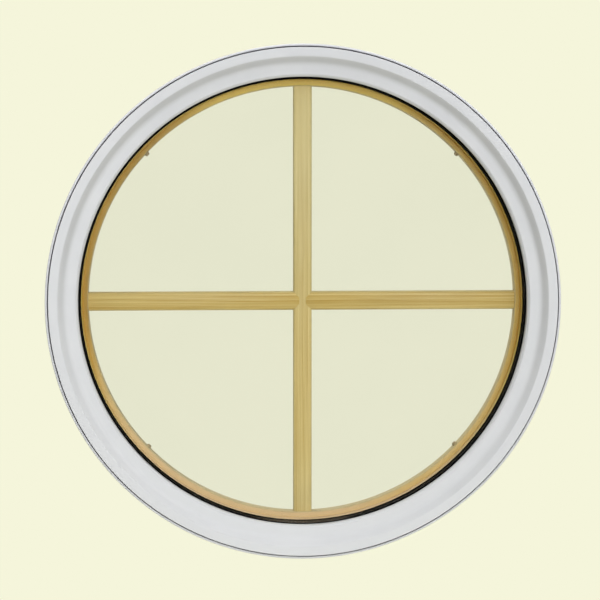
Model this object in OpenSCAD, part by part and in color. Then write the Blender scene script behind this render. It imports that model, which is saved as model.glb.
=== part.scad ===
// Round fixed window: a moulded casing, sealed double glazing and a wooden cross grille in a round jamb.
// The window's axis runs along Y. Outdoors is towards -Y, the wall plane is y = 0, and +Z is up.

/* [Casing] */
// Diameter of the clear opening inside the casing's lip
sight_d = 701; // [400:1:1200]
// Width of the casing's face, from its lip to its rim
casing_w = 49.55; // [46:0.05:70]
// Thickness of the casing, from the wall to its front edge
casing_t = 31.75; // [26:0.05:45]
// Width of the outer band next to the rim
band_w = 14.15; // [10:0.05:17]
// Slope of the outer band, in degrees
band_angle = 8; // [0:0.5:12]
// Radius of the rounded edge between the outer band and the cove
arris_round = 3; // [0.5:0.1:5]
// Width of the cove, from the outer band to where its side would meet the face
cove_w = 10.1; // [7:0.1:12]
// Slope of the cove's steep side, in degrees
cove_angle = 50; // [30:1:55]
// Radius of the hollow at the foot of the cove
cove_r = 14; // [4:0.5:18]
// Slope of the face between the cove and the lip, in degrees
face_angle = 7.5; // [2:0.5:12]
// Width of the lip's bevel, from the sloping face to the clear opening
lip_w = 3.2; // [2:0.1:6]
// Slope of the lip's bevel, in degrees
lip_angle = 50; // [30:1:60]
// Radius of the rounded edge between the sloping face and the lip's bevel
lip_round = 2.5; // [0.5:0.1:3]
// Width of the round bead that forms the rim
bead_w = 3.8; // [2:0.1:6]
// How far the bead stands back from the front edge
bead_setback = 3; // [0:0.1:8]
// Width of the narrow groove between the bead and the outer band
groove_w = 1.6; // [0.8:0.1:3]
// Depth of that groove, below the front edge
groove_depth = 10; // [4:0.1:15]
// Width of the sealant kerf in the casing's back, over the jamb's outer edge
kerf_w = 3; // [1:0.1:6]
// Depth of the sealant kerf
kerf_depth = 3; // [1:0.1:6]

/* [Jamb] */
// Thickness of the jamb's wall
jamb_t = 19.05; // [12:0.05:30]
// Depth of the jamb, from the wall plane to its indoor end
jamb_depth = 115.9; // [70:0.1:200]
// Radius of the eased inner edge at the indoor end
jamb_ease = 3; // [0.5:0.1:6]

/* [Glazing] */
// Thickness of each pane
pane_t = 3.2; // [2:0.1:6]
// Width of the sealed space between the panes
air_gap = 12.7; // [6:0.1:20]
// How far the glass runs in behind the casing's lip
glass_bite = 11.45; // [8:0.05:20]
// Gap between the edge of the glass and the jamb
edge_gap = 3.2; // [1:0.1:6]
// How far the spacer shows inside the casing's lip
spacer_reach = 2; // [0:0.1:5]
// Width of the spacer across its face
spacer_w = 8; // [5:0.1:10]
// Thickness of the glazing tapes
tape_t = 1.6; // [0.8:0.1:3]
// How far the outer tape shows past the casing's lip
tape_show = 1; // [0:0.1:2]
// How far the inner tape stays back from the edge of the stop
tape_set = 1.2; // [0:0.1:3]
// How far the tapes stay back from the edge of the glass
tape_back = 2; // [0.5:0.1:5]
// Length of each glazing block along the edge of the glass
block_l = 60; // [30:1:100]
// Angle of the two lower blocks from the bottom of the window
setting_angle = 30; // [15:1:40]
// Angle of the two upper blocks from the top of the window
centring_angle = 45; // [30:1:60]

/* [Stop and grille] */
// How far the glazing stop shows inside the casing's lip
stop_reach = 4.2; // [0:0.1:6]
// Depth of the glazing stop along the window's axis
stop_depth = 12; // [8:0.1:25]
// Radius of the eased edge of the stop, next to the glass
stop_ease = 1.5; // [0.3:0.1:3]
// Width of the grille's ring
ring_w = 27.45; // [20:0.05:45]
// Gap between the grille's ring and the jamb
ring_gap = 0.7; // [0.2:0.1:3]
// Thickness of the grille
grille_t = 19; // [14:0.1:28]
// Width of the grille's bars
bar_w = 28.8; // [20:0.1:50]
// Width of the flat along the middle of each bar
bar_flat = 10; // [6:0.1:16]
// Fall of the bevels on the bars
bevel_fall = 0.8; // [0.4:0.1:4]
// Width of the chamfers along the outdoor edges of the bars
bar_chamfer = 1.2; // [0.3:0.1:3]

/* [Fasteners] */
// Number of screws that hold the casing to the jamb
casing_screw_count = 8; // [4:1:16]
// Length of a casing screw under its head
casing_screw_l = 50; // [30:1:80]
// Shank diameter of a casing screw
casing_screw_d = 4.2; // [3:0.1:6]
// Height of a casing screw's head
casing_head_h = 3; // [2:0.1:5]
// Diameter of a casing screw's head and of the plug over it
plug_d = 9.5; // [7:0.1:12]
// Least thickness of the plug over a casing screw's head
plug_cover = 2; // [1:0.1:5]
// Number of brads that hold the glazing stop
brad_count = 12; // [6:1:24]
// Length of a stop brad
brad_l = 25; // [20:1:30]
// Shank diameter of a stop brad
brad_d = 1.4; // [1:0.1:2.5]
// Head diameter of a stop brad
brad_head_d = 2.4; // [1.8:0.1:4]
// Height of a stop brad's head
brad_head_h = 1.2; // [0.6:0.1:2]
// How far a brad's head is set below the stop's face
brad_set = 0.6; // [0.2:0.1:2]
// Angle of the grille screws from the top and the bottom of the ring
grille_screw_angle = 46.5; // [20:0.5:70]
// Length of a grille screw under its head
grille_screw_l = 40; // [32:1:44]
// Shank diameter of a grille screw
grille_screw_d = 3.6; // [2.5:0.1:5]
// Play between a grille screw and its hole in the ring
screw_play = 0.4; // [0.1:0.1:1]
// Head diameter of a grille screw
grille_head_d = 7.8; // [6:0.1:10]
// Height of a grille screw's round head
grille_head_h = 4.6; // [2:0.1:6]
// Width of the slot in a grille screw's head
slot_w = 1.2; // [0.6:0.1:2]
// Depth of that slot
slot_depth = 1.6; // [0.5:0.1:2]
// Length of the pointed tip of every screw
screw_tip_l = 6; // [2:0.1:10]
// Diameter of the dowels between the bars and the ring
dowel_d = 8; // [5:0.1:10]
// Length of a dowel
dowel_l = 32; // [20:1:44]

/* [Hidden] */
$fn = 180;
small_fn = 48;

// Radii, from the lip outwards through the glass and the jamb to the rim
sight_r = sight_d / 2;
glass_r = sight_r + glass_bite;
bore_r = glass_r + edge_gap;
jamb_r = bore_r + jamb_t;
rim_r = sight_r + casing_w;

// Radii of the casing's mouldings
bead_in_r = rim_r - bead_w;
band_out_r = bead_in_r - groove_w;
band_in_r = band_out_r - band_w;
foot_r = band_in_r - cove_w;
lip_r = sight_r + lip_w;

// Depths of the casing's mouldings
front_y = -casing_t;
band_in_y = front_y + band_w * tan(band_angle);
foot_y = band_in_y + cove_w * tan(cove_angle);
lip_y = foot_y + (foot_r - lip_r) * tan(face_angle);
lip_foot_y = lip_y + lip_w * tan(lip_angle);
bead_y = front_y + bead_setback + bead_w / 2;
groove_y = front_y + groove_depth;

// Directions along a sloping side of the casing, outwards, and from it into the casing
function along_side(angle) = [cos(angle), -sin(angle)];
function into_side(angle) = [sin(angle), cos(angle)];

// The lip's rounded edge is one arc that runs into its bevel and the sloping face
lip_reach = lip_round * tan((lip_angle - face_angle) / 2);
lip_out = [lip_r, lip_y] + lip_reach * along_side(face_angle);
lip_in = [lip_r, lip_y] - lip_reach * along_side(lip_angle);
lip_centre = lip_out + lip_round * into_side(face_angle);

// The rounded edge of the cove is one arc that runs into its steep side and the outer band
arris_reach = arris_round * tan((cove_angle - band_angle) / 2);
arris_out = [band_in_r, band_in_y] + arris_reach * along_side(band_angle);
arris_in = [band_in_r, band_in_y] - arris_reach * along_side(cove_angle);
arris_centre = arris_out + arris_round * into_side(band_angle);

// The hollow of the cove is one arc that runs into its steep side and the sloping face
hollow_reach = cove_r * tan((cove_angle - face_angle) / 2);
hollow_out = [foot_r, foot_y] + hollow_reach * along_side(cove_angle);
hollow_in = [foot_r, foot_y] - hollow_reach * along_side(face_angle);
hollow_centre = hollow_in - cove_r * into_side(face_angle);

// Depths of the glazing stack, from the wall plane indoors
outer_pane_y = tape_t;
space_y = outer_pane_y + pane_t;
inner_pane_y = space_y + air_gap;
inner_tape_y = inner_pane_y + pane_t;
stop_y = inner_tape_y + tape_t;
grille_y = stop_y + stop_depth;
grille_back_y = grille_y + grille_t;

// Radii of the spacer, the stop and the grille's ring
spacer_in_r = sight_r - spacer_reach;
spacer_out_r = spacer_in_r + spacer_w;
stop_r = sight_r - stop_reach;
ring_out_r = bore_r - ring_gap;
ring_in_r = ring_out_r - ring_w;

// The bars' chamfers run from the ends of their bevels to their sides
bevel_slope = 2 * bevel_fall / (bar_w - bar_flat);
bevel_end_x = bar_w / 2 - bar_chamfer;
bevel_end_y = grille_y + (bevel_end_x - bar_flat / 2) * bevel_slope;
chamfer_end_y = grille_y + bevel_fall + bar_chamfer;

// The bars run into the ring and are cut back to its inner face
bar_reach = (ring_in_r + ring_out_r) / 2;
lap_y = (grille_y + grille_back_y) / 2;
edge_y = (grille_y + bevel_fall + grille_back_y) / 2;

// Seats of the fasteners
casing_screw_r = bore_r + jamb_t / 2;
casing_seat_y = lip_y + plug_cover + casing_head_h;
brad_y = (stop_y + grille_y) / 2;
grille_seat_r = sqrt(pow(ring_in_r, 2) - pow(grille_head_d / 2, 2));

// Angles are counted from +X towards +Z
casing_screw_angles = [for (i = [0 : casing_screw_count - 1]) (i + 0.5) * 360 / casing_screw_count];
brad_angles = [for (i = [0 : brad_count - 1]) (i + 0.5) * 360 / brad_count];
bar_end_angles = [0, 90, 180, 270];
grille_screw_angles = [for (middle = [90, 270], side = [-1, 1]) middle + side * grille_screw_angle];
setting_angles = [270 - setting_angle, 270 + setting_angle];
centring_angles = [90 - centring_angle, 90 + centring_angle];

// Turns a section about the window's axis: x is the radius and y the depth
module turned() {
    rotate([-90, 0, 0]) rotate_extrude() children();
}

// Rectangle of a section between two radii and two depths
module band(r0, r1, y0, y1) {
    translate([r0, y0]) square([r1 - r0, y1 - y0]);
}

// Plain ring between two radii and two depths
module ring(r0, r1, y0, y1) {
    turned() band(r0, r1, y0, y1);
}

// Stretch of a plain ring, centred on one angle
module ring_stretch(r0, r1, y0, y1, angle, span) {
    at_angle(angle + span / 2)
        rotate([-90, 0, 0]) rotate_extrude(angle = span) band(r0, r1, y0, y1);
}

// What lies outside a quarter circle in the corner of a section, to ease an edge
module corner_waste(r) {
    difference() {
        square(r);
        translate([r, r]) circle(r);
    }
}

// Places a child that lies along +X at an angle round the window
module at_angle(angle) {
    rotate([0, -angle, 0]) children();
}

// Round rod along a radius of the window, at one depth
module radial_rod(d, r0, r1, y) {
    translate([r0, y, 0]) rotate([0, 90, 0]) cylinder(d = d, h = r1 - r0, $fn = small_fn);
}

// Pointed shank from its head along +Z
module pointed_shank(d, l) {
    cylinder(d = d, h = l - screw_tip_l, $fn = small_fn);
    translate([0, 0, l - screw_tip_l]) cylinder(d1 = d, d2 = d / 4, h = screw_tip_l, $fn = small_fn);
}

// Section of the casing: bevelled lip, sloping face, cove, outer band, groove and bead
module casing_section() {
    difference() {
        union() {
            polygon([
                [sight_r, 0],
                [sight_r, lip_foot_y],
                lip_in,
                lip_out,
                hollow_in,
                hollow_centre,
                hollow_out,
                arris_in,
                arris_out,
                [band_out_r, front_y],
                [band_out_r, groove_y],
                [bead_in_r, groove_y],
                [bead_in_r, bead_y],
                [rim_r, bead_y],
                [rim_r, 0]
            ]);
            translate(lip_centre) circle(lip_round);
            translate(arris_centre) circle(arris_round);
            translate([rim_r - bead_w / 2, bead_y]) circle(d = bead_w);
        }
        translate(hollow_centre) circle(cove_r);
        band(jamb_r - kerf_w / 2, jamb_r + kerf_w / 2, -kerf_depth, 0);
    }
}

// Places a child at each casing screw, with +Z pointing indoors from the wall plane
module at_casing_screws() {
    for (angle = casing_screw_angles)
        at_angle(angle) translate([casing_screw_r, 0, 0]) rotate([-90, 0, 0]) children();
}

// Shank of a casing screw, from the seat of its head
module casing_shank() {
    translate([0, 0, casing_seat_y]) pointed_shank(casing_screw_d, casing_screw_l);
}

// Counterbore for the head of a casing screw and the plug over it
module casing_counterbore() {
    translate([0, 0, front_y]) cylinder(d = plug_d, h = casing_seat_y - front_y, $fn = small_fn);
}

module exterior_casing() {
    color("whitesmoke") difference() {
        turned() casing_section();
        at_casing_screws() {
            casing_counterbore();
            casing_shank();
        }
    }
}

module casing_screws() {
    color("silver") at_casing_screws() {
        translate([0, 0, casing_seat_y - casing_head_h])
            cylinder(d = plug_d, h = casing_head_h, $fn = small_fn);
        casing_shank();
    }
}

// The plugs take their outer face from the casing's own section
module casing_plugs() {
    color("whitesmoke") intersection() {
        turned() casing_section();
        at_casing_screws() translate([0, 0, front_y])
            cylinder(d = plug_d, h = casing_seat_y - casing_head_h - front_y, $fn = small_fn);
    }
}

module jamb_section() {
    difference() {
        band(bore_r, jamb_r, 0, jamb_depth);
        translate([bore_r, jamb_depth]) mirror([0, 1]) corner_waste(jamb_ease);
    }
}

module jamb() {
    color("burlywood") difference() {
        turned() jamb_section();
        at_casing_screws() casing_shank();
        at_brads() brad();
        at_grille_screws() grille_shank();
    }
}

module outer_tape() {
    color("black") ring(sight_r - tape_show, glass_r - tape_back, 0, outer_pane_y);
}

// Disc of glass across the window
module pane(y) {
    translate([0, y, 0]) rotate([-90, 0, 0]) cylinder(r = glass_r, h = pane_t);
}

module outer_pane() {
    color([0.86, 0.93, 0.9, 0.35]) pane(outer_pane_y);
}

module inner_pane() {
    color([0.86, 0.93, 0.9, 0.35]) pane(inner_pane_y);
}

module spacer() {
    color("black") ring(spacer_in_r, spacer_out_r, space_y, inner_pane_y);
}

module edge_sealant() {
    color("dimgray") ring(spacer_out_r, glass_r, space_y, inner_pane_y);
}

module inner_tape() {
    color("black") ring(stop_r + tape_set, glass_r - tape_back, inner_tape_y, stop_y);
}

// Blocks that fill the gap between the glass and the jamb
module glazing_blocks(angles) {
    span = block_l / glass_r * 180 / PI;
    for (angle = angles)
        ring_stretch(glass_r, bore_r, outer_pane_y, inner_tape_y, angle, span);
}

module setting_blocks() {
    color("darkslategray") glazing_blocks(setting_angles);
}

module centring_blocks() {
    color("darkslategray") glazing_blocks(centring_angles);
}

module stop_section() {
    difference() {
        band(stop_r, bore_r, stop_y, grille_y);
        translate([stop_r, stop_y]) corner_waste(stop_ease);
    }
}

// Places a child at each stop brad
module at_brads() {
    for (angle = brad_angles)
        at_angle(angle) children();
}

// Brad along a radius, with its head below the stop's face
module brad() {
    head_r = stop_r + brad_set;
    radial_rod(brad_head_d, head_r, head_r + brad_head_h, brad_y);
    radial_rod(brad_d, head_r, head_r + brad_l, brad_y);
}

module glazing_stop() {
    color("peru") difference() {
        turned() stop_section();
        at_brads() {
            brad();
            radial_rod(brad_head_d, stop_r - brad_set, stop_r + brad_set, brad_y);
        }
    }
}

module stop_brads() {
    color("silver") at_brads() brad();
}

// Places a child at each grille screw
module at_grille_screws() {
    for (angle = grille_screw_angles)
        at_angle(angle) translate([grille_seat_r, edge_y, 0]) rotate([0, 90, 0]) children();
}

// Shank of a grille screw, from under its head outwards
module grille_shank() {
    pointed_shank(grille_screw_d, grille_screw_l);
}

// Round slotted head of a grille screw, standing inwards from the ring
module grille_head() {
    dome_r = (pow(grille_head_d / 2, 2) + pow(grille_head_h, 2)) / (2 * grille_head_h);
    difference() {
        intersection() {
            translate([0, 0, dome_r - grille_head_h]) sphere(dome_r, $fn = small_fn);
            translate([0, 0, -grille_head_h]) cylinder(d = grille_head_d, h = grille_head_h, $fn = small_fn);
        }
        translate([-slot_w / 2, -grille_head_d / 2, -grille_head_h])
            cube([slot_w, grille_head_d, slot_depth]);
    }
}

// Places a child at each end of a bar
module at_bar_ends() {
    for (angle = bar_end_angles)
        at_angle(angle) children();
}

// Dowel along a radius, half in the ring and half in a bar
module dowel() {
    radial_rod(dowel_d, ring_in_r - dowel_l / 2, ring_in_r + dowel_l / 2, edge_y);
}

module grille_ring() {
    color("tan") difference() {
        ring(ring_in_r, ring_out_r, grille_y, grille_back_y);
        at_bar_ends() dowel();
        at_grille_screws() translate([0, 0, -grille_head_h])
            cylinder(d = grille_screw_d + screw_play, h = 2 * ring_w, $fn = small_fn);
    }
}

// Section of a bar: a flat between two chamfered bevels on its outdoor side
module bar_section() {
    polygon([
        [-bar_w / 2, grille_back_y],
        [-bar_w / 2, chamfer_end_y],
        [-bevel_end_x, bevel_end_y],
        [-bar_flat / 2, grille_y],
        [bar_flat / 2, grille_y],
        [bevel_end_x, bevel_end_y],
        [bar_w / 2, chamfer_end_y],
        [bar_w / 2, grille_back_y]
    ]);
}

// Space inside the grille's ring, from the stop to the jamb's indoor end
module ring_opening() {
    translate([0, stop_y, 0]) rotate([-90, 0, 0]) cylinder(r = ring_in_r, h = jamb_depth - stop_y);
}

// Upright bar whose ends are scribed to the ring and bored for the dowels
module scribed_bar() {
    difference() {
        intersection() {
            translate([0, 0, -bar_reach]) linear_extrude(2 * bar_reach) bar_section();
            ring_opening();
        }
        at_bar_ends() dowel();
    }
}

// Block with a plan in X and Z, between two depths
module plan_block(y0, y1) {
    translate([0, y1, 0]) rotate([90, 0, 0]) linear_extrude(y1 - y0) children();
}

// Plan of the two mitred shoulders where the level bar meets the upright bar
module shoulder_plan() {
    for (side = [-1, 1])
        polygon([
            [side * bar_w, -bar_w],
            [side * bar_w, bar_w],
            [side * bar_flat / 2, bar_flat / 2],
            [side * bar_flat / 2, -bar_flat / 2]
        ]);
}

// The upright bar runs through on the outdoor side of the halved crossing
module vertical_bar() {
    color("tan") difference() {
        scribed_bar();
        plan_block(lap_y, jamb_depth) square([2 * bar_w, bar_w], center = true);
        plan_block(stop_y, lap_y) shoulder_plan();
    }
}

// The level bar runs through on the indoor side of the halved crossing
module horizontal_bar() {
    color("tan") difference() {
        rotate([0, 90, 0]) scribed_bar();
        plan_block(stop_y, lap_y) difference() {
            square(2 * bar_w, center = true);
            shoulder_plan();
        }
    }
}

module grille_dowels() {
    color("wheat") at_bar_ends() dowel();
}

module grille_screws() {
    color("gray") at_grille_screws() {
        grille_head();
        grille_shank();
    }
}

exterior_casing();
casing_screws();
casing_plugs();
jamb();
outer_tape();
outer_pane();
spacer();
edge_sealant();
inner_pane();
inner_tape();
setting_blocks();
centring_blocks();
glazing_stop();
stop_brads();
grille_ring();
vertical_bar();
horizontal_bar();
grille_dowels();
grille_screws();
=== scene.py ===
import math

import bmesh
import bpy
from mathutils import Matrix, Vector


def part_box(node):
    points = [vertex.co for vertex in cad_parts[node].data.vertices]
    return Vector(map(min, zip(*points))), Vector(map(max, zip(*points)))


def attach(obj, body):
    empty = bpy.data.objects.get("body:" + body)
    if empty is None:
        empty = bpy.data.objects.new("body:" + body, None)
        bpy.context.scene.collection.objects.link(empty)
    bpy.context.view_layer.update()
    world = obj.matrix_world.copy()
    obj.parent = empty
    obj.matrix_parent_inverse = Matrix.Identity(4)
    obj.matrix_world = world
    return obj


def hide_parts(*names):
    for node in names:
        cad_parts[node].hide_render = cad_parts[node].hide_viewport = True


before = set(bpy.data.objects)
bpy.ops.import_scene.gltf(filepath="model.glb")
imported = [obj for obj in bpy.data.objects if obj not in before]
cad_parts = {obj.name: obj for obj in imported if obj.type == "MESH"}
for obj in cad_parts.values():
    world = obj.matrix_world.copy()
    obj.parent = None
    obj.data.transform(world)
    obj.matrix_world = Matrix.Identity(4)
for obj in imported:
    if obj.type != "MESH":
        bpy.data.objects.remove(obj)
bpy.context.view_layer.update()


def inner_radius(name):
    """Least distance of a solid of the frame from the window's axis."""
    return min(math.hypot(v.co.x, v.co.z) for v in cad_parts[name].data.vertices)


# Sizes read from the frame, in metres. The window's axis runs along Y and outdoors is towards -Y.
RIM_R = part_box("exterior_casing")[1].x
SIGHT_R = inner_radius("exterior_casing")
FRONT_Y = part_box("exterior_casing")[0].y
JAMB_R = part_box("jamb")[1].x
JAMB_END_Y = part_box("jamb")[1].y
SPACER_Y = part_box("spacer")[0].y
SPACER_BACK_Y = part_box("spacer")[1].y
BORE_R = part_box("glazing_stop")[1].x
STOP_R = inner_radius("glazing_stop")
STOP_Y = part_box("glazing_stop")[0].y
RING_IN_R = inner_radius("grille_ring")
RING_OUT_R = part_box("grille_ring")[1].x
GRILLE_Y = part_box("grille_ring")[0].y
GRILLE_BACK_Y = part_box("grille_ring")[1].y
SCREW_Y = (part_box("grille_screws")[0].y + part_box("grille_screws")[1].y) / 2
BAR_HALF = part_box("vertical_bar")[1].x

# Mouldings of the casing, with slopes in degrees
BEAD_W = 0.0038
BEAD_SETBACK = 0.003
GROOVE_W = 0.0016
GROOVE_DEPTH = 0.010
BAND_W = 0.01415
BAND_SLOPE = 8
ARRIS_ROUND = 0.003
COVE_W = 0.0101
COVE_SLOPE = 50
COVE_R = 0.014
FACE_SLOPE = 7.5
LIP_W = 0.0032
LIP_SLOPE = 50
LIP_ROUND = 0.0025
KERF_W = 0.003
KERF_DEPTH = 0.003
GROOVE_R = RIM_R - BEAD_W - GROOVE_W / 2
COVE_MID_R = RIM_R - BEAD_W - GROOVE_W - BAND_W - COVE_W / 2

# Eased edges of the wood and of the moulding
JAMB_EASE = 0.003
STOP_EASE = 0.0015
MOULDED_EASE = 0.0005
SANDED_EASE = 0.0009
JOINT_EASE = 0.0004

# Screws and nail holes that show, with the screws' angle off the upright in degrees
SCREW_HEAD_D = 0.0078
SCREW_HEAD_H = 0.0046
SCREW_SHANK_D = 0.0036
SCREW_L = 0.040
SCREW_TIP_L = 0.006
SLOT_W = 0.0012
SLOT_DEPTH = 0.0016
SCREW_ANGLE = 46.5
BRAD_COUNT = 12
BRAD_HOLE_D = 0.0024
FILLER_DISH = 0.0001

# Fineness of round forms, and the limits, in metres and degrees, for merging, easing and creasing
TURN_STEPS = 360
SPIN_STEPS = 40
ARC_STEPS = 18
EASE_STEPS = 6
FLOOR_STEPS = 128
SAME_SPOT = 1e-6
FLAT_ANGLE = 1
ARRIS_ANGLE = 15
CREASE_ANGLE = 40

# Where tones change, as a start and an end in metres above the window's axis or to the right of it
VINYL_LOW_SHADE_Z = (-RIM_R, RIM_R * 0.88)
VINYL_COVE_Z = (-0.22, 0.12)
SPACER_DUST_Z = (-SIGHT_R, -SIGHT_R * 0.96)
BAR_YELLOW_Z = (-0.15, 0.22)
BAR_FOOT_Z = (-RING_IN_R, -0.22)
BAR_TOP_LIGHT_Z = (0.16, 0.30)
ROUND_LOW_Z = (-0.30, -0.08)
RING_LOW_Z = (-0.28, 0.0)
RING_LOW_X = (0.05, 0.20)
RING_TOP_LIGHT_Z = (0.25, 0.34)
RING_AMBER_X = (-0.25, -0.08)
RING_AMBER_FOOT_Z = (-0.16, -0.02)
RING_AMBER_TOP_Z = (0.02, 0.16)
RING_CORNER_SHADE_Z = (-0.20, -0.04)

# Widths, radii and depths of the shades along edges
BAR_EDGE_SHADE_W = 0.0036
RING_EDGE_SHADE_W = 0.0026
RING_CORNER_SHADE_START_R = RING_IN_R + 0.002
SPACER_SEAL_W = 0.0024
COVE_SHADE_W = COVE_W * 0.8
GROOVE_SHADE_W = (GROOVE_W * 0.55, GROOVE_W * 0.75)
GROOVE_SHADE_Y = (FRONT_Y + 0.0006, FRONT_Y + 0.003)

# Colours of the finishes, among them painted light and shade
VINYL_WHITE = (0.726, 0.737, 0.759, 1.0)
VINYL_GREY = (0.697, 0.709, 0.734, 1.0)
VINYL_DUST = (0.52, 0.49, 0.43, 1.0)
# Painted shade: the casing's lower part, its cove and its groove
VINYL_LOW_SHADE = (0.50, 0.510, 0.522, 1.0)
COVE_SHADE = (0.43, 0.437, 0.450, 1.0)
GROOVE_SHADE = (0.150, 0.140, 0.180, 1.0)
UPRIGHT_PALE = (0.82, 0.690, 0.340, 1.0)
UPRIGHT_DEEP = (0.67, 0.510, 0.190, 1.0)
# Painted light near the top of the upright
UPRIGHT_TOP_LIGHT = (0.98, 0.800, 0.360, 1.0)
LEVEL_PALE = (0.79, 0.610, 0.235, 1.0)
LEVEL_DEEP = (0.57, 0.360, 0.075, 1.0)
# Painted shade along the bars' edges
BAR_EDGE_SHADE = (0.54, 0.455, 0.215, 1.0)
RING_PALE = (0.78, 0.570, 0.160, 1.0)
RING_DEEP = (0.66, 0.430, 0.075, 1.0)
# Painted light and shade of the round pine: paler low down, amber shade, gold on top, corner shade and
# inner-edge shade
RING_LIT_PALE = (0.71, 0.520, 0.315, 1.0)
RING_GOLD_LIGHT = (0.96, 0.710, 0.140, 1.0)
RING_AMBER_SHADE = (0.46, 0.260, 0.025, 1.0)
RING_CORNER_SHADE = (0.58, 0.315, 0.022, 1.0)
RING_EDGE_SHADE = (0.52, 0.430, 0.220, 1.0)
JAMB_PALE = (0.70, 0.545, 0.270, 1.0)
JAMB_DEEP = (0.56, 0.380, 0.135, 1.0)
WOOD_DUST = (0.55, 0.50, 0.40, 1.0)
GLASS_TINT = (0.948, 0.952, 0.950, 1.0)
GLASS_CLEAR = (0.956, 0.958, 0.956, 1.0)
GLASS_GLARE = (0.35, 0.35, 0.35, 1.0)
GLASS_SHADOW = (0.97, 0.975, 0.97, 1.0)
SPACER_DARK = (0.014, 0.012, 0.009, 1.0)
SPACER_PALE = (0.022, 0.019, 0.014, 1.0)
SPACER_SEAL = (0.004, 0.004, 0.004, 1.0)
SPACER_DUST = (0.22, 0.18, 0.13, 1.0)

# Light and colour of the studio. A strength of 1 shows a colour as it is written, and angles are in degrees.
WHITE = (1.0, 1.0, 1.0, 1.0)
CREAM = (0.913, 0.913, 0.708, 1.0)
SOFT_LIGHT = 0.22
SIDE_SHADE = 2.5
SOFT_TURN = 22
FRONT_GLOW = {"slant": 11, "turn": 50, "core": 5, "spread": 26, "strength": 6.3}
SKY_GLOW = {"slant": 76, "turn": 76, "core": 8, "spread": 30, "strength": 3.7}
DARK_ROOM = 0.02
FILL_LIGHT = 48.0
FILL_SIZE = 1.6
FILL_PLACE = (-1.3, 2.3, 1.4)
FLOOR_TONE = (0.73, 0.73, 0.58, 1.0)
FLOOR_Z = -0.75
FLOOR_R = 1.1
FLOOR_PLAIN_R = 0.5

# The photograph's view: angles in degrees, and the width that fills the picture at the aim
VIEW_AZIMUTH = -3.0
VIEW_ELEVATION = 4.8
VIEW_DISTANCE = 2.9
VIEW_WIDTH = 0.9266
VIEW_AIM = (-0.0075, FRONT_Y, 0.0067)


# Sections and forms

def arc(centre_r, centre_y, radius, start, end):
    """Corners along an arc in a section, between two angles in degrees from +radius towards +Y."""
    turns = [math.radians(start + (end - start) * i / ARC_STEPS) for i in range(ARC_STEPS + 1)]
    return [(centre_r + radius * math.cos(t), centre_y + radius * math.sin(t), 0.0) for t in turns]


def eased(corners):
    """The outline through (radius, depth, ease) corners, each rounded by its ease."""
    points = []
    for i, (r, y, ease) in enumerate(corners):
        here = Vector((r, y))
        if ease == 0.0:
            points.append(here)
            continue
        before = Vector(corners[i - 1][:2])
        after = Vector(corners[(i + 1) % len(corners)][:2])
        inward = (here - before).normalized()
        onward = (after - here).normalized()
        reach = ease * math.tan(inward.angle(onward) / 2)
        start = here - inward * reach
        end = here + onward * reach
        for k in range(EASE_STEPS + 1):
            t = k / EASE_STEPS
            points.append(start * (1 - t) ** 2 + here * 2 * t * (1 - t) + end * t ** 2)
    return points


def new_piece(name, form):
    """An object from a bmesh, smooth except at its creases."""
    bmesh.ops.recalc_face_normals(form, faces=form.faces)
    mesh = bpy.data.meshes.new(name)
    form.to_mesh(mesh)
    form.free()
    mesh.shade_smooth()
    mesh.set_sharp_from_angle(angle=math.radians(CREASE_ANGLE))
    piece = bpy.data.objects.new(name, mesh)
    bpy.context.scene.collection.objects.link(piece)
    return piece


def turned(name, corners):
    """A ring: a closed section turned round the window's axis."""
    section = eased(corners)
    form = bmesh.new()
    rows = []
    for i in range(TURN_STEPS):
        turn = 2 * math.pi * i / TURN_STEPS
        across = Vector((math.cos(turn), 0.0, math.sin(turn)))
        rows.append([form.verts.new(across * p.x + Vector((0.0, p.y, 0.0))) for p in section])
    for i, row in enumerate(rows):
        following = rows[(i + 1) % TURN_STEPS]
        for k in range(len(section)):
            m = (k + 1) % len(section)
            form.faces.new((row[k], row[m], following[m], following[k]))
    return new_piece(name, form)


def spun(form, outline, place):
    """Adds a solid to a bmesh: an open outline of (radius, height) points, spun about the place's own Z."""
    turns = [2 * math.pi * i / SPIN_STEPS for i in range(SPIN_STEPS)]
    rows = []
    for radius, height in outline:
        spots = [Vector((radius * math.cos(t), radius * math.sin(t), height)) for t in turns]
        if radius == 0.0:
            spots = spots[:1]
        rows.append([form.verts.new(place @ spot) for spot in spots])
    for low, high in zip(rows, rows[1:]):
        for i in range(SPIN_STEPS):
            k = i + 1
            corners = (low[i % len(low)], low[k % len(low)], high[k % len(high)], high[i % len(high)])
            form.faces.new(list(dict.fromkeys(corners)))


def softened(name, solid):
    """A copy of a solid of the frame with its edges eased as if sanded."""
    form = bmesh.new()
    form.from_mesh(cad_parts[solid].data)
    bmesh.ops.remove_doubles(form, verts=form.verts, dist=SAME_SPOT)
    flat = math.radians(FLAT_ANGLE)
    bmesh.ops.dissolve_limit(form, angle_limit=flat, verts=form.verts, edges=form.edges)
    least = math.radians(ARRIS_ANGLE)
    arrises = [e for e in form.edges if e.is_manifold and e.calc_face_angle() > least]
    bmesh.ops.bevel(form, geom=arrises, offset=JOINT_EASE, segments=2, profile=0.5, affect="EDGES",
                    clamp_overlap=True)
    return new_piece(name, form)


def at_angle(angle, radius, depth):
    """Place of a piece on a radius of the window, with its own +Z pointing outwards from the axis."""
    turn = Matrix.Rotation(math.radians(-angle), 4, "Y")
    return turn @ Matrix.Translation((radius, depth, 0.0)) @ Matrix.Rotation(math.radians(90), 4, "Y")


# Pieces

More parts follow.
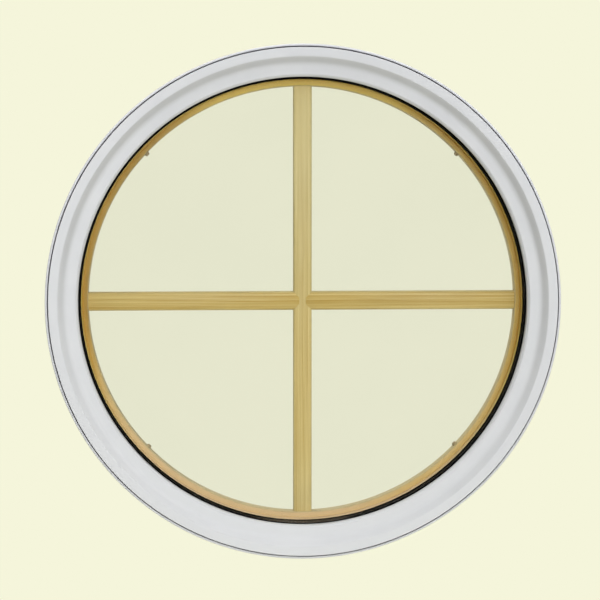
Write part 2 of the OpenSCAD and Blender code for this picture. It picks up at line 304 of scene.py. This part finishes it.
def make_casing():
    """Moulded casing: lip, face, cove, band, groove and bead, with a kerf in its back."""
    bead_r = RIM_R - BEAD_W
    band_out_r = bead_r - GROOVE_W
    band_in_r = band_out_r - BAND_W
    foot_r = band_in_r - COVE_W
    lip_r = SIGHT_R + LIP_W
    band_in_y = FRONT_Y + BAND_W * math.tan(math.radians(BAND_SLOPE))
    foot_y = band_in_y + COVE_W * math.tan(math.radians(COVE_SLOPE))
    lip_y = foot_y + (foot_r - lip_r) * math.tan(math.radians(FACE_SLOPE))
    lip_foot_y = lip_y + LIP_W * math.tan(math.radians(LIP_SLOPE))
    groove_y = FRONT_Y + GROOVE_DEPTH
    bead_y = FRONT_Y + BEAD_SETBACK + BEAD_W / 2
    face = [
        (SIGHT_R, 0.0, MOULDED_EASE),
        (SIGHT_R, lip_foot_y, MOULDED_EASE),
        (lip_r, lip_y, LIP_ROUND),
        (foot_r, foot_y, COVE_R),
        (band_in_r, band_in_y, ARRIS_ROUND),
        (band_out_r, FRONT_Y, MOULDED_EASE),
        (band_out_r, groove_y, 0.0),
        (bead_r, groove_y, 0.0),
    ]
    bead = arc(bead_r + BEAD_W / 2, bead_y, BEAD_W / 2, 180, 360)
    back = [
        (RIM_R, 0.0, MOULDED_EASE),
        (JAMB_R + KERF_W / 2, 0.0, 0.0),
        (JAMB_R + KERF_W / 2, -KERF_DEPTH, 0.0),
        (JAMB_R - KERF_W / 2, -KERF_DEPTH, 0.0),
        (JAMB_R - KERF_W / 2, 0.0, 0.0),
    ]
    return turned("casing", face + bead + back)


def make_jamb():
    return turned("round_jamb", [
        (BORE_R, 0.0, 0.0),
        (JAMB_R, 0.0, 0.0),
        (JAMB_R, JAMB_END_Y, SANDED_EASE),
        (BORE_R, JAMB_END_Y, JAMB_EASE),
    ])


def make_stop():
    return turned("stop_ring", [
        (STOP_R, STOP_Y, STOP_EASE),
        (BORE_R, STOP_Y, 0.0),
        (BORE_R, GRILLE_Y, 0.0),
        (STOP_R, GRILLE_Y, JOINT_EASE),
    ])


def make_grille_ring():
    return turned("plain_ring", [
        (RING_IN_R, GRILLE_Y, JOINT_EASE),
        (RING_OUT_R, GRILLE_Y, JOINT_EASE),
        (RING_OUT_R, GRILLE_BACK_Y, SANDED_EASE),
        (RING_IN_R, GRILLE_BACK_Y, SANDED_EASE),
    ])


def screw_outline():
    """Half outline of a round-headed screw, from the top of its head to its point."""
    head_r = SCREW_HEAD_D / 2
    shank_r = SCREW_SHANK_D / 2
    dome_r = (head_r ** 2 + SCREW_HEAD_H ** 2) / (2 * SCREW_HEAD_H)
    centre = dome_r - SCREW_HEAD_H
    turns = [math.acos(centre / dome_r) * i / ARC_STEPS for i in range(1, ARC_STEPS + 1)]
    dome = [(dome_r * math.sin(t), centre - dome_r * math.cos(t)) for t in turns]
    shank = [(shank_r, 0.0), (shank_r, SCREW_L - SCREW_TIP_L), (shank_r / 4, SCREW_L), (0.0, SCREW_L)]
    return [(0.0, -SCREW_HEAD_H)] + dome + shank


def slotted(piece, places):
    """Cuts the driver's slot across each screw head."""
    form = bmesh.new()
    top = Matrix.Translation((0.0, 0.0, -SCREW_HEAD_H))
    size = Matrix.Diagonal((SLOT_W, 2 * SCREW_HEAD_D, 2 * SLOT_DEPTH, 1.0))
    for place in places:
        bmesh.ops.create_cube(form, size=1.0, matrix=place @ top @ size)
    cutter = new_piece("slot_cutter", form)
    cut = piece.modifiers.new("slots", "BOOLEAN")
    cut.operation = "DIFFERENCE"
    cut.solver = "EXACT"
    cut.object = cutter
    shape = bpy.data.meshes.new_from_object(piece.evaluated_get(bpy.context.evaluated_depsgraph_get()))
    piece.modifiers.clear()
    piece.data = shape
    bpy.data.objects.remove(cutter)
    return piece


def make_screws():
    """Four slotted screws through the grille's ring, their heads seated on its inside."""
    seat_r = math.sqrt(RING_IN_R ** 2 - (SCREW_HEAD_D / 2) ** 2)
    angles = [middle + side * SCREW_ANGLE for middle in (90, 270) for side in (-1, 1)]
    places = [at_angle(angle, seat_r, SCREW_Y) for angle in angles]
    form = bmesh.new()
    for place in places:
        spun(form, screw_outline(), place)
    return slotted(new_piece("round_head_screws", form), places)


def make_fillings():
    """Filler over the sunk heads of the stop's brads, a little dished."""
    radius = BRAD_HOLE_D / 2
    depth = (STOP_Y + GRILLE_Y) / 2
    outline = [
        (0.0, FILLER_DISH),
        (radius / 2, FILLER_DISH / 2),
        (radius, 0.0),
        (radius, radius / 2),
        (0.0, radius / 2),
    ]
    form = bmesh.new()
    for i in range(BRAD_COUNT):
        spun(form, outline, at_angle((i + 0.5) * 360 / BRAD_COUNT, STOP_R - FILLER_DISH, depth))
    return new_piece("brad_fillings", form)


# Shader nodes

def feed(tree, made, inputs):
    """Sets inputs of a node, by name or number, to values or joins them to sockets."""
    for name, value in inputs.items():
        if isinstance(value, bpy.types.NodeSocket):
            tree.links.new(value, made.inputs[name])
        else:
            made.inputs[name].default_value = value


def node(tree, kind, inputs=None, **settings):
    """A new node with its settings and inputs."""
    made = tree.nodes.new(kind)
    for name, value in settings.items():
        setattr(made, name, value)
    feed(tree, made, inputs or {})
    return made


def maths(tree, operation, first, second=0.0):
    """One step of arithmetic between sockets and values."""
    return node(tree, "ShaderNodeMath", {0: first, 1: second}, operation=operation).outputs[0]


def product(tree, first, *others):
    """Sockets and values multiplied together."""
    for other in others:
        first = maths(tree, "MULTIPLY", first, other)
    return first


def total(tree, first, *others):
    """Sockets and values added up."""
    for other in others:
        first = maths(tree, "ADD", first, other)
    return first


def greatest(tree, first, *others):
    """The largest of some sockets and values."""
    for other in others:
        first = maths(tree, "MAXIMUM", first, other)
    return first


def apart(tree, first, second):
    """How far two values lie from each other."""
    return maths(tree, "ABSOLUTE", maths(tree, "SUBTRACT", first, second))


def hypotenuse(tree, first, second):
    """Length across two sides that meet at a right angle."""
    return maths(tree, "SQRT", total(tree, product(tree, first, first), product(tree, second, second)))


def ramp(tree, value, span, ends=(0.0, 1.0)):
    """A value moved smoothly from one end to the other while it crosses a span."""
    return node(tree, "ShaderNodeMapRange", {
        "Value": value,
        "From Min": span[0],
        "From Max": span[1],
        "To Min": ends[0],
        "To Max": ends[1],
    }, interpolation_type="SMOOTHSTEP").outputs["Result"]


def blend(tree, factor, first, second):
    """A colour between two colours."""
    return node(tree, "ShaderNodeMix", {0: factor, 6: first, 7: second}, data_type="RGBA").outputs[2]


def shaded(tree, tone, shades):
    """A tone with (mask, colour) shades laid over it in turn."""
    for mask, colour in shades:
        tone = blend(tree, mask, tone, colour)
    return tone


def position(tree):
    """The place on the object as three sockets, in metres."""
    place = node(tree, "ShaderNodeTexCoord").outputs["Object"]
    return node(tree, "ShaderNodeSeparateXYZ", {0: place}).outputs


def cloud(tree, scale, detail):
    """Soft noise all over the object."""
    place = node(tree, "ShaderNodeTexCoord").outputs["Object"]
    return node(tree, "ShaderNodeTexNoise", {"Vector": place, "Scale": scale, "Detail": detail}).outputs[0]


def streaks(tree, grain, along_scale, across_scale, detail):
    """Noise drawn out along the grain. Along has two parts, so that it can close on itself round a ring."""
    along, across, depth = grain
    slow = node(tree, "ShaderNodeVectorMath", {0: along, 3: along_scale}, operation="SCALE").outputs[0]
    parts = node(tree, "ShaderNodeSeparateXYZ", {0: slow}).outputs
    quick = product(tree, across, across_scale)
    where = node(tree, "ShaderNodeCombineXYZ", {0: parts[0], 1: parts[1], 2: quick}).outputs[0]
    return node(tree, "ShaderNodeTexNoise", {
        "Vector": where,
        "W": product(tree, depth, across_scale),
        "Scale": 1.0,
        "Detail": detail,
    }, noise_dimensions="4D").outputs[0]


# Effects that several finishes share

NUMBER = "NodeSocketFloat"
COLOUR = "NodeSocketColor"
DIRECTION = "NodeSocketVector"


def new_group(name, inputs, outputs):
    """An empty node group with named sockets: its tree, the sockets that it is given and its last node."""
    tree = bpy.data.node_groups.new(name, "ShaderNodeTree")
    for title, kind in inputs.items():
        tree.interface.new_socket(title, in_out="INPUT", socket_type=kind)
    for title, kind in outputs.items():
        tree.interface.new_socket(title, in_out="OUTPUT", socket_type=kind)
    return tree, tree.nodes.new("NodeGroupInput").outputs, tree.nodes.new("NodeGroupOutput")


def placed(tree, group, inputs=None):
    """Outputs of a node group that is placed in a material with its own values."""
    return node(tree, "ShaderNodeGroup", inputs, node_tree=group).outputs


def make_pine_figure():
    """Figure of sawn pine: growth lines, broad bands and fine fibres along the grain."""
    tree, given, result = new_group("pine_figure", {
        "Along": DIRECTION,
        "Across": NUMBER,
        "Depth": NUMBER,
        "Pale": COLOUR,
        "Deep": COLOUR,
    }, {"Color": COLOUR, "Roughness": NUMBER, "Height": NUMBER})
    heart_across = 0.018
    heart_depth = 0.045
    growth_spacing = 0.0028
    wander = 0.016
    growth_share = 0.32
    broad_share = 0.48
    fine_share = 0.20
    across = given["Across"]
    depth = given["Depth"]
    grain = (given["Along"], across, depth)
    drift = streaks(tree, grain, along_scale=2.4, across_scale=14.0, detail=2.0)
    bands = streaks(tree, grain, along_scale=3.0, across_scale=480.0, detail=2.0)
    fibres = streaks(tree, grain, along_scale=16.0, across_scale=900.0, detail=3.0)
    aside = total(tree, across, product(tree, drift, wander), heart_across)
    from_heart = hypotenuse(tree, aside, total(tree, depth, heart_depth))
    year = maths(tree, "FRACT", maths(tree, "DIVIDE", from_heart, growth_spacing))
    growth = product(tree, ramp(tree, year, (0.25, 0.85)), ramp(tree, year, (0.9, 1.0), (1.0, 0.0)))
    broad = ramp(tree, bands, (0.40, 0.60))
    fine = ramp(tree, fibres, (0.35, 0.7))
    tone = total(tree, product(tree, growth, growth_share), product(tree, broad, broad_share),
                 product(tree, fine, fine_share))
    feed(tree, result, {
        "Color": blend(tree, tone, given["Pale"], given["Deep"]),
        "Roughness": ramp(tree, fine, (0.0, 1.0), (0.38, 0.52)),
        "Height": total(tree, growth, fine),
    })
    return tree


def make_round_grain():
    """Directions for a piece that runs round the window's axis."""
    tree, given, result = new_group("round_grain", {}, {
        "Along": DIRECTION,
        "Across": NUMBER,
        "Depth": NUMBER,
    })
    x, y, z = position(tree)
    radius = hypotenuse(tree, x, z)
    shrink = maths(tree, "DIVIDE", RING_IN_R, radius)
    along = node(tree, "ShaderNodeCombineXYZ", {
        0: product(tree, x, shrink),
        1: product(tree, z, shrink),
        2: 0.0,
    }).outputs[0]
    feed(tree, result, {"Along": along, "Across": radius, "Depth": y})
    return tree


def make_edge_shade():
    """Mask that is 1 on an edge and fades over a width, with a broken border."""
    tree, given, result = new_group("edge_shade", {"Distance": NUMBER, "Width": NUMBER}, {"Mask": NUMBER})
    broken = cloud(tree, scale=90.0, detail=2.0)
    width = product(tree, given["Width"], ramp(tree, broken, (0.3, 0.7), (0.7, 1.3)))
    share = maths(tree, "DIVIDE", given["Distance"], width)
    feed(tree, result, {"Mask": ramp(tree, share, (0.0, 1.0), (1.0, 0.0))})
    return tree


def make_fine_mottle():
    """Uneven tone and fine bumps of a moulded, sprayed or drawn surface."""
    tree, given, result = new_group("fine_mottle", {"Scale": NUMBER}, {"Tone": NUMBER, "Height": NUMBER})
    finer = 14.0
    broad = cloud(tree, given["Scale"], detail=3.0)
    fine = cloud(tree, product(tree, given["Scale"], finer), detail=2.0)
    feed(tree, result, {"Tone": ramp(tree, broad, (0.3, 0.7)), "Height": fine})
    return tree


def make_settled_dust():
    """Mask of thin dust on faces that look up, patchy."""
    tree, given, result = new_group("settled_dust", {"Amount": NUMBER}, {"Mask": NUMBER})
    facing = node(tree, "ShaderNodeNewGeometry").outputs["Normal"]
    up = node(tree, "ShaderNodeSeparateXYZ", {0: facing}).outputs["Z"]
    patches = cloud(tree, scale=35.0, detail=4.0)
    mask = product(tree, ramp(tree, up, (0.3, 1.0)), ramp(tree, patches, (0.3, 0.75)), given["Amount"])
    feed(tree, result, {"Mask": mask})
    return tree


PINE_FIGURE = make_pine_figure()
ROUND_GRAIN = make_round_grain()
EDGE_SHADE = make_edge_shade()
FINE_MOTTLE = make_fine_mottle()
SETTLED_DUST = make_settled_dust()


# Finishes

def new_finish(name):
    """An empty material, its tree and its surface shader."""
    made = bpy.data.materials.new(name)
    made.use_nodes = True
    tree = made.node_tree
    tree.nodes.clear()
    surface = node(tree, "ShaderNodeBsdfPrincipled")
    node(tree, "ShaderNodeOutputMaterial", {"Surface": surface.outputs[0]})
    return made, tree, surface


def mix_shaders(tree, factor, first, second):
    """A shader between two shaders."""
    return node(tree, "ShaderNodeMixShader", {0: factor, 1: first.outputs[0], 2: second.outputs[0]})


def show_in_place(tree, surface, factor, other):
    """Shows another shader in place of a material's surface, by a factor."""
    mixed = mix_shaders(tree, factor, surface, other)
    feed(tree, tree.get_output_node("ALL"), {"Surface": mixed.outputs[0]})


def looked_at(tree):
    """1 for rays that look at a thing straight, through glass or in gloss, 0 for those that only light."""
    path = node(tree, "ShaderNodeLightPath").outputs
    return greatest(tree, path["Is Camera Ray"], path["Is Transmission Ray"], path["Is Glossy Ray"])


def bump(tree, height, strength, distance):
    """Relief from a height, as a normal."""
    return node(tree, "ShaderNodeBump", {
        "Height": height,
        "Strength": strength,
        "Distance": distance,
    }).outputs["Normal"]


def make_vinyl():
    """Satin white moulded vinyl of the casing, with painted shade low down, in its cove towards the top and
    in its groove.
    """
    made, tree, surface = new_finish("white_vinyl")
    mottle = placed(tree, FINE_MOTTLE, {"Scale": 22.0})
    dust = placed(tree, SETTLED_DUST, {"Amount": 0.12})["Mask"]
    up = position(tree)["Z"]
    round_place = placed(tree, ROUND_GRAIN)
    # Painted shade: the casing greyer towards the bottom
    low = ramp(tree, up, VINYL_LOW_SHADE_Z, (0.55, 0.0))
    # Painted shade in the cove, stronger towards the top
    off_cove = apart(tree, round_place["Across"], COVE_MID_R)
    in_cove = ramp(tree, off_cove, (0.0, COVE_SHADE_W), (0.32, 0.0))
    cove_shade = product(tree, in_cove, ramp(tree, up, VINYL_COVE_Z))
    # Painted shade down in the groove, which draws the dark line round the rim
    off_groove = apart(tree, round_place["Across"], GROOVE_R)
    in_groove = ramp(tree, off_groove, GROOVE_SHADE_W, (1.0, 0.0))
    sunk = ramp(tree, round_place["Depth"], GROOVE_SHADE_Y)
    tone = blend(tree, mottle["Tone"], VINYL_GREY, VINYL_WHITE)
    feed(tree, surface, {
        "Base Color": shaded(tree, tone, [
            (dust, VINYL_DUST),
            (low, VINYL_LOW_SHADE),
            (cove_shade, COVE_SHADE),
            (product(tree, in_groove, sunk), GROOVE_SHADE),
        ]),
        "Roughness": ramp(tree, mottle["Tone"], (0.0, 1.0), (0.40, 0.50)),
        "Specular IOR Level": 0.3,
        "Normal": bump(tree, mottle["Height"], strength=0.05, distance=0.0004),
    })
    return made


def lay_pine(tree, surface, grain, pale, deep, shades):
    """Varnished pine on a surface. Grain is three directions, and shades are laid over the figure."""
    along, across, depth = grain
    figure = placed(tree, PINE_FIGURE, {
        "Along": along,
        "Across": across,
        "Depth": depth,
        "Pale": pale,
        "Deep": deep,
    })
    dust = placed(tree, SETTLED_DUST, {"Amount": 0.06})["Mask"]
    feed(tree, surface, {
        "Base Color": shaded(tree, figure["Color"], shades + [(dust, WOOD_DUST)]),
        "Roughness": figure["Roughness"],
        "Specular IOR Level": 0.3,
        "Normal": bump(tree, figure["Height"], strength=0.12, distance=0.0002),
        "Coat Weight": 0.1,
        "Coat Roughness": 0.25,
    })


def make_bar_pine(name, along_axis, across_axis, pale, deep):
    """Pine of a straight bar: grain along one axis, painted shade along its edges, yellower low down and
    painted light near the top.
    """
    made, tree, surface = new_finish(name)
    place = position(tree)
    up = place["Z"]
    across = place[across_axis]
    along = node(tree, "ShaderNodeCombineXYZ", {0: place[along_axis], 1: 0.0, 2: 0.0}).outputs[0]
    low = product(tree, ramp(tree, up, BAR_YELLOW_Z, (0.6, 0.0)), ramp(tree, up, BAR_FOOT_Z, (0.35, 1.0)))
    pale = blend(tree, low, pale, LEVEL_PALE)
    deep = blend(tree, low, deep, LEVEL_DEEP)
    inside = maths(tree, "SUBTRACT", BAR_HALF, maths(tree, "ABSOLUTE", across))
    edge = placed(tree, EDGE_SHADE, {"Distance": inside, "Width": BAR_EDGE_SHADE_W})["Mask"]
    lay_pine(tree, surface, (along, across, place["Y"]), pale, deep, [
        # Painted light: paler near the top, where the casing shades the bar
        (ramp(tree, up, BAR_TOP_LIGHT_Z, (0.0, 0.6)), UPRIGHT_TOP_LIGHT),
        # Painted shade along the bar's edges
        (product(tree, edge, 0.55), BAR_EDGE_SHADE),
    ])
    return made


def make_round_pine(name, pale, deep, lit_share):
    """Pine that runs round the window, painted paler low down by a share, as painted light."""
    made, tree, surface = new_finish(name)
    # Painted light: paler low down, where light from above falls
    low = ramp(tree, position(tree)["Z"], ROUND_LOW_Z, (lit_share, 0.0))
    lay_pine(tree, surface, placed(tree, ROUND_GRAIN), pale, deep, [(low, RING_LIT_PALE)])
    return made


def make_grille_ring_pine():
    """Pine of the grille's ring, with painted light and shade: painted shade near the stop and along the
    inner edge, painted light low down and gold on top, amber shade at left.
    """
    made, tree, surface = new_finish("grille_ring_pine")
    grain = placed(tree, ROUND_GRAIN)
    radius = grain["Across"]
    place = position(tree)
    up = place["Z"]
    right = place["X"]
    # Painted light: paler low down, less so towards the right
    low = product(tree, ramp(tree, up, RING_LOW_Z, (1.0, 0.0)), ramp(tree, right, RING_LOW_X, (1.0, 0.45)))
    # Painted light: gold towards the top, where the casing shades the ring
    high = ramp(tree, up, RING_TOP_LIGHT_Z)
    # Painted shade: deeper amber on the left side
    left = product(tree, ramp(tree, right, RING_AMBER_X, (0.85, 0.0)), ramp(tree, up, RING_AMBER_FOOT_Z),
                   ramp(tree, up, RING_AMBER_TOP_Z, (1.0, 0.7)))
    # Painted shade in the corner by the stop, stronger towards the top and faded where the ring is painted
    # lighter
    faded = ramp(tree, greatest(tree, low, high), (0.0, 1.0), (0.95, 0.15))
    corner_shade = product(tree, ramp(tree, radius, (RING_CORNER_SHADE_START_R, STOP_R)), faded,
                    ramp(tree, up, RING_CORNER_SHADE_Z, (0.35, 1.0)))
    # Painted shade along the ring's inner edge
    inside = maths(tree, "SUBTRACT", radius, RING_IN_R)
    edge = placed(tree, EDGE_SHADE, {"Distance": inside, "Width": RING_EDGE_SHADE_W})["Mask"]
    lay_pine(tree, surface, grain, RING_PALE, RING_DEEP, [
        (product(tree, low, 0.75), RING_LIT_PALE),
        (left, RING_AMBER_SHADE),
        (product(tree, high, 0.9), RING_GOLD_LIGHT),
        (corner_shade, RING_CORNER_SHADE),
        (product(tree, edge, 0.8), RING_EDGE_SHADE),
    ])
    return made


def make_glass():
    """Clear float glass, faintly tinted and low in glare. Light for other pieces passes straight through."""
    made, tree, surface = new_finish("clear_glass")
    mottle = placed(tree, FINE_MOTTLE, {"Scale": 5.0})
    feed(tree, surface, {
        "Base Color": blend(tree, mottle["Tone"], GLASS_TINT, GLASS_CLEAR),
        "Roughness": 0.0,
        "IOR": 1.5,
        "Specular Tint": GLASS_GLARE,
        "Transmission Weight": 1.0,
    })
    clear = node(tree, "ShaderNodeBsdfTransparent", {"Color": GLASS_SHADOW})
    path = node(tree, "ShaderNodeLightPath").outputs
    show_in_place(tree, surface, greatest(tree, path["Is Shadow Ray"], path["Is Diffuse Ray"]), clear)
    return made


def make_mottled(name, first, second, scale, rough, metallic=0.0, relief=0.1, shine=0.5):
    """A plain finish with an uneven tone, for rubber, foam, sealant, filler, dowels and metal."""
    made, tree, surface = new_finish(name)
    mottle = placed(tree, FINE_MOTTLE, {"Scale": scale})
    feed(tree, surface, {
        "Base Color": blend(tree, mottle["Tone"], first, second),
        "Roughness": ramp(tree, mottle["Tone"], (0.0, 1.0), rough),
        "Metallic": metallic,
        "Specular IOR Level": shine,
        "Normal": bump(tree, mottle["Height"], strength=relief, distance=0.0002),
    })
    return made


def make_spacer_finish():
    """Dark spacer with black sealing lines along both panes and dust at its bottom."""
    made, tree, surface = new_finish("dark_spacer")
    mottle = placed(tree, FINE_MOTTLE, {"Scale": 120.0})
    place = position(tree)
    off_middle = apart(tree, place["Y"], (SPACER_Y + SPACER_BACK_Y) / 2)
    to_pane = maths(tree, "SUBTRACT", (SPACER_BACK_Y - SPACER_Y) / 2, off_middle)
    seal = placed(tree, EDGE_SHADE, {"Distance": to_pane, "Width": SPACER_SEAL_W})["Mask"]
    dusty = ramp(tree, place["Z"], SPACER_DUST_Z, (0.35, 0.0))
    tone = blend(tree, mottle["Tone"], SPACER_DARK, SPACER_PALE)
    feed(tree, surface, {
        "Base Color": shaded(tree, tone, [(seal, SPACER_SEAL), (dusty, SPACER_DUST)]),
        "Roughness": ramp(tree, mottle["Tone"], (0.0, 1.0), (0.65, 0.8)),
        "Specular IOR Level": 0.01,
        "Normal": bump(tree, mottle["Height"], strength=0.15, distance=0.0002),
    })
    return made


white_vinyl = make_vinyl()
ring_pine = make_grille_ring_pine()
stop_pine = make_round_pine("stop_pine", RING_PALE, RING_DEEP, 0.9)
jamb_pine = make_round_pine("jamb_pine", JAMB_PALE, JAMB_DEEP, 0.2)
upright_pine = make_bar_pine("upright_bar_pine", "Z", "X", UPRIGHT_PALE, UPRIGHT_DEEP)
level_pine = make_bar_pine("level_bar_pine", "X", "Z", LEVEL_PALE, LEVEL_DEEP)
glass = make_glass()
dark_spacer = make_spacer_finish()
bronzed_steel = make_mottled(
    "bronzed_steel", (0.36, 0.29, 0.160, 1.0), (0.46, 0.375, 0.220, 1.0),
    scale=300.0, rough=(0.4, 0.55), metallic=0.25)
zinc_steel = make_mottled(
    "zinc_steel", (0.55, 0.55, 0.53, 1.0), (0.68, 0.67, 0.63, 1.0),
    scale=300.0, rough=(0.3, 0.45), metallic=1.0)
black_tape = make_mottled(
    "black_tape", (0.003, 0.003, 0.003, 1.0), (0.006, 0.006, 0.006, 1.0),
    scale=200.0, rough=(0.75, 0.9), relief=0.3, shine=0.01)
grey_sealant = make_mottled(
    "grey_sealant", (0.10, 0.10, 0.10, 1.0), (0.14, 0.14, 0.135, 1.0),
    scale=150.0, rough=(0.5, 0.7))
block_rubber = make_mottled(
    "block_rubber", (0.02, 0.022, 0.022, 1.0), (0.03, 0.032, 0.032, 1.0),
    scale=180.0, rough=(0.6, 0.75))
beech = make_mottled(
    "beech", (0.62, 0.44, 0.27, 1.0), (0.70, 0.52, 0.34, 1.0),
    scale=90.0, rough=(0.5, 0.65))
wood_filler = make_mottled(
    "wood_filler", (0.56, 0.41, 0.20, 1.0), (0.63, 0.47, 0.25, 1.0),
    scale=400.0, rough=(0.6, 0.75))


# Dressing

def dress(piece, finish, slot, *solids):
    """Gives a new piece its finish and its body, and hides the solids that it stands for. The slot that it
    is given is not used.
    """
    piece.data.materials.clear()
    piece.data.materials.append(finish)
    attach(piece, "root")
    if solids:
        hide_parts(*solids)


def finish_solids(finish, *solids):
    """Gives solids of the frame their finish."""
    for solid in solids:
        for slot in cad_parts[solid].material_slots:
            slot.material = finish


dress(make_casing(), white_vinyl, "casing", "exterior_casing", "casing_plugs")
dress(make_jamb(), jamb_pine, "jamb", "jamb")
dress(make_stop(), stop_pine, "stop", "glazing_stop")
dress(make_fillings(), wood_filler, "stop")
dress(make_grille_ring(), ring_pine, "grille", "grille_ring")
dress(softened("upright_bar", "vertical_bar"), upright_pine, "grille", "vertical_bar")
dress(softened("level_bar", "horizontal_bar"), level_pine, "grille", "horizontal_bar")
dress(make_screws(), bronzed_steel, "grille_screws", "grille_screws")
finish_solids(glass, "outer_pane", "inner_pane")
finish_solids(black_tape, "outer_tape", "inner_tape")
finish_solids(dark_spacer, "spacer")
finish_solids(grey_sealant, "edge_sealant")
finish_solids(block_rubber, "setting_blocks", "centring_blocks")
finish_solids(zinc_steel, "casing_screws", "stop_brads")
finish_solids(beech, "grille_dowels")


# Studio

def make_floor():
    """Pale round floor below the window, which fades into the background."""
    form = bmesh.new()
    place = Matrix.Translation((0.0, 0.0, FLOOR_Z))
    bmesh.ops.create_circle(form, cap_ends=True, segments=FLOOR_STEPS, radius=FLOOR_R, matrix=place)
    floor = new_piece("floor", form)
    made, tree, surface = new_finish("pale_floor")
    place = position(tree)
    far = ramp(tree, hypotenuse(tree, place["X"], place["Y"]), (FLOOR_PLAIN_R, FLOOR_R * 0.98))
    background = node(tree, "ShaderNodeEmission", {"Color": CREAM, "Strength": 1.0})
    feed(tree, surface, {"Base Color": FLOOR_TONE, "Roughness": 0.9})
    show_in_place(tree, surface, product(tree, looked_at(tree), far), background)
    floor.data.materials.append(made)


def part_along(tree, way, direction):
    """How far a direction points along another one."""
    both = node(tree, "ShaderNodeVectorMath", {0: way, 1: direction}, operation="DOT_PRODUCT")
    return both.outputs["Value"]


def glow(tree, way, slant, turn, core, spread, strength):
    """Light from one side of outdoors, by its angles off the window's axis, round it and across itself."""
    off = math.radians(slant)
    around = math.radians(turn)
    towards = (math.sin(off) * math.cos(around), -math.cos(off), math.sin(off) * math.sin(around))
    rim = math.cos(math.radians(spread))
    full = math.cos(math.radians(core))
    return ramp(tree, part_along(tree, way, towards), (rim, full), (0.0, strength))


def soft_level(tree, way):
    """Strength of the studio's light from each way: soft all round, weaker at the sides, with two glows."""
    turn = math.radians(SOFT_TURN)
    up = part_along(tree, way, (-math.sin(turn), 0.0, math.cos(turn)))
    aside = part_along(tree, way, (math.cos(turn), 0.0, math.sin(turn)))
    upness = maths(tree, "SUBTRACT", product(tree, up, up), product(tree, aside, aside))
    level = total(tree, product(tree, upness, SOFT_LIGHT * SIDE_SHADE), SOFT_LIGHT)
    level = greatest(tree, level, 0.0)
    return total(tree, level, glow(tree, way, **FRONT_GLOW), glow(tree, way, **SKY_GLOW))


def make_world():
    """Soft white light on the window. The eye sees the cream background, and a dark room in the glass."""
    world = bpy.data.worlds.new("studio")
    bpy.context.scene.world = world
    world.use_nodes = True
    tree = world.node_tree
    tree.nodes.clear()
    path = node(tree, "ShaderNodeLightPath").outputs
    way = node(tree, "ShaderNodeTexCoord").outputs["Generated"]
    outdoors = part_along(tree, way, (0.0, -1.0, 0.0))
    mirrored = maths(tree, "MINIMUM", path["Is Glossy Ray"], path["Glossy Depth"])
    dark = product(tree, mirrored, ramp(tree, outdoors, (0.25, 0.75)))
    soft = node(tree, "ShaderNodeBackground", {"Color": WHITE, "Strength": soft_level(tree, way)})
    cream = node(tree, "ShaderNodeBackground", {"Color": CREAM, "Strength": 1.0})
    room = node(tree, "ShaderNodeBackground", {"Color": WHITE, "Strength": DARK_ROOM})
    lit = mix_shaders(tree, looked_at(tree), soft, cream)
    lit = mix_shaders(tree, dark, lit, room)
    node(tree, "ShaderNodeOutputWorld", {"Surface": lit.outputs[0]})


def make_indoor_fill():
    """Soft lamp behind the window, for the indoor side. It isn't seen in the glass or through it."""
    lamp = bpy.data.lights.new("indoor_fill", "AREA")
    lamp.shape = "SQUARE"
    lamp.size = FILL_SIZE
    lamp.energy = FILL_LIGHT
    made = bpy.data.objects.new("indoor_fill", lamp)
    made.location = FILL_PLACE
    made.visible_transmission = False
    made.visible_glossy = False
    made.rotation_euler = (-made.location).to_track_quat("-Z", "Y").to_euler()
    bpy.context.scene.collection.objects.link(made)


def make_camera():
    """Camera at the photograph's angle: a little left of the window's axis and a little above it."""
    azimuth = math.radians(VIEW_AZIMUTH)
    elevation = math.radians(VIEW_ELEVATION)
    level = math.cos(elevation)
    back = Vector((math.sin(azimuth) * level, -math.cos(azimuth) * level, math.sin(elevation)))
    data = bpy.data.cameras.new("camera")
    data.lens = data.sensor_width * VIEW_DISTANCE / VIEW_WIDTH
    camera = bpy.data.objects.new("camera", data)
    camera.location = Vector(VIEW_AIM) + back * VIEW_DISTANCE
    camera.rotation_euler = (-back).to_track_quat("-Z", "Y").to_euler()
    bpy.context.scene.collection.objects.link(camera)
    bpy.context.scene.camera = camera


make_floor()
make_world()
make_indoor_fill()
make_camera()
bpy.context.scene.view_settings.view_transform = "Standard"
